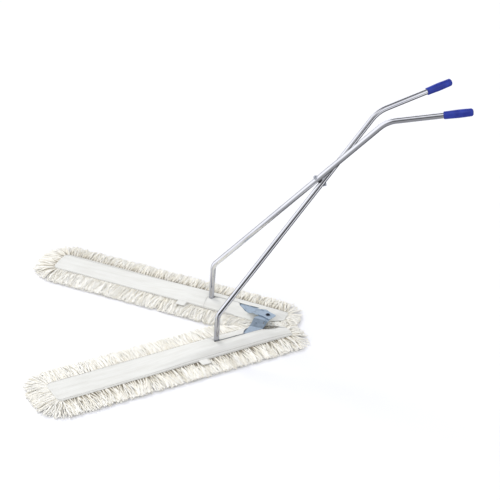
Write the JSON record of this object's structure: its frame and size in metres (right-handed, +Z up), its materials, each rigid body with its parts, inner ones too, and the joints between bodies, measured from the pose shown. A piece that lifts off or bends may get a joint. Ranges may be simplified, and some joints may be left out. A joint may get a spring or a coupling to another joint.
{
  "type": "scissor dust mop",
  "caption": "Scissor dust mop: fringed cotton wings hinged in a V at the apex, steered by crossed chrome tube handles with blue grips.",
  "frame": {"origin": "on the floor, under the middle of the whole outline", "axes": "+X toward the grips, +Y toward the right wing, +Z up"},
  "size_m": [1.6485, 1.2344, 1.0982],
  "materials": {
    "chrome_tube": "chromed steel tube with soft streaked reflections",
    "zinc_steel": "blue-passivated zinc on pressed steel",
    "rod_steel": "bright zinc on round steel",
    "dark_plastic": "moulded dark plastic",
    "blue_plastic": "semi-gloss blue plastic with a moulded skin",
    "cotton_backing": "bleached woven cotton canvas",
    "cotton_yarn": "cream twisted cotton yarn"
  },
  "bodies": {
    "left_wing": {"left_wing_frame": "rod_steel", "left_spine": "zinc_steel", "left_stem_socket": "rod_steel", "left_socket_rivets": "rod_steel", "left_stem_bush": "dark_plastic", "left_hinge_bracket": "zinc_steel", "left_bracket_rivets": "rod_steel", "left_cover_backing": "cotton_backing", "left_mop_pad": "cotton_yarn", "left_fringe": "cotton_yarn", "apex_rivet": "zinc_steel", "apex_washer": "dark_plastic"},
    "right_wing": {"right_wing_frame": "rod_steel", "right_spine": "zinc_steel", "right_stem_socket": "rod_steel", "right_socket_rivets": "rod_steel", "right_stem_bush": "dark_plastic", "right_hinge_bracket": "zinc_steel", "right_bracket_rivets": "rod_steel", "right_cover_backing": "cotton_backing", "right_mop_pad": "cotton_yarn", "right_fringe": "cotton_yarn"},
    "left_handle": {"left_handle_tube": "chrome_tube", "left_stem_clip": "rod_steel", "left_grip": "blue_plastic"},
    "right_handle": {"right_handle_tube": "chrome_tube", "right_stem_clip": "rod_steel", "right_grip": "blue_plastic", "pivot_bolt": "rod_steel", "pivot_top_washer": "rod_steel", "pivot_spacer": "dark_plastic", "pivot_bottom_washer": "rod_steel", "pivot_nut": "rod_steel"}
  },
  "joints": [
    {"name": "wing_spread", "type": "hinge", "parent": "left_wing", "child": "right_wing", "pos_m": [0.14695, 0, 0.057], "axis": [0, 0, -1], "range_deg": [-12, 16]},
    {"name": "left_handle_swivel", "type": "hinge", "parent": "left_wing", "child": "left_handle", "pos_m": [-0.076, -0.15881, 0.038], "axis": [0, 0, 1], "range_deg": [-3.6, 2.7]},
    {"name": "right_handle_swivel", "type": "hinge", "parent": "right_wing", "child": "right_handle", "pos_m": [-0.076, 0.15881, 0.038], "axis": [0, 0, 1], "range_deg": [-2.7, 3.6]}
  ],
  "couplings": [
    {"joint": "left_handle_swivel", "follows": "wing_spread", "ratio": -0.22},
    {"joint": "right_handle_swivel", "follows": "wing_spread", "ratio": 0.22}
  ]
}
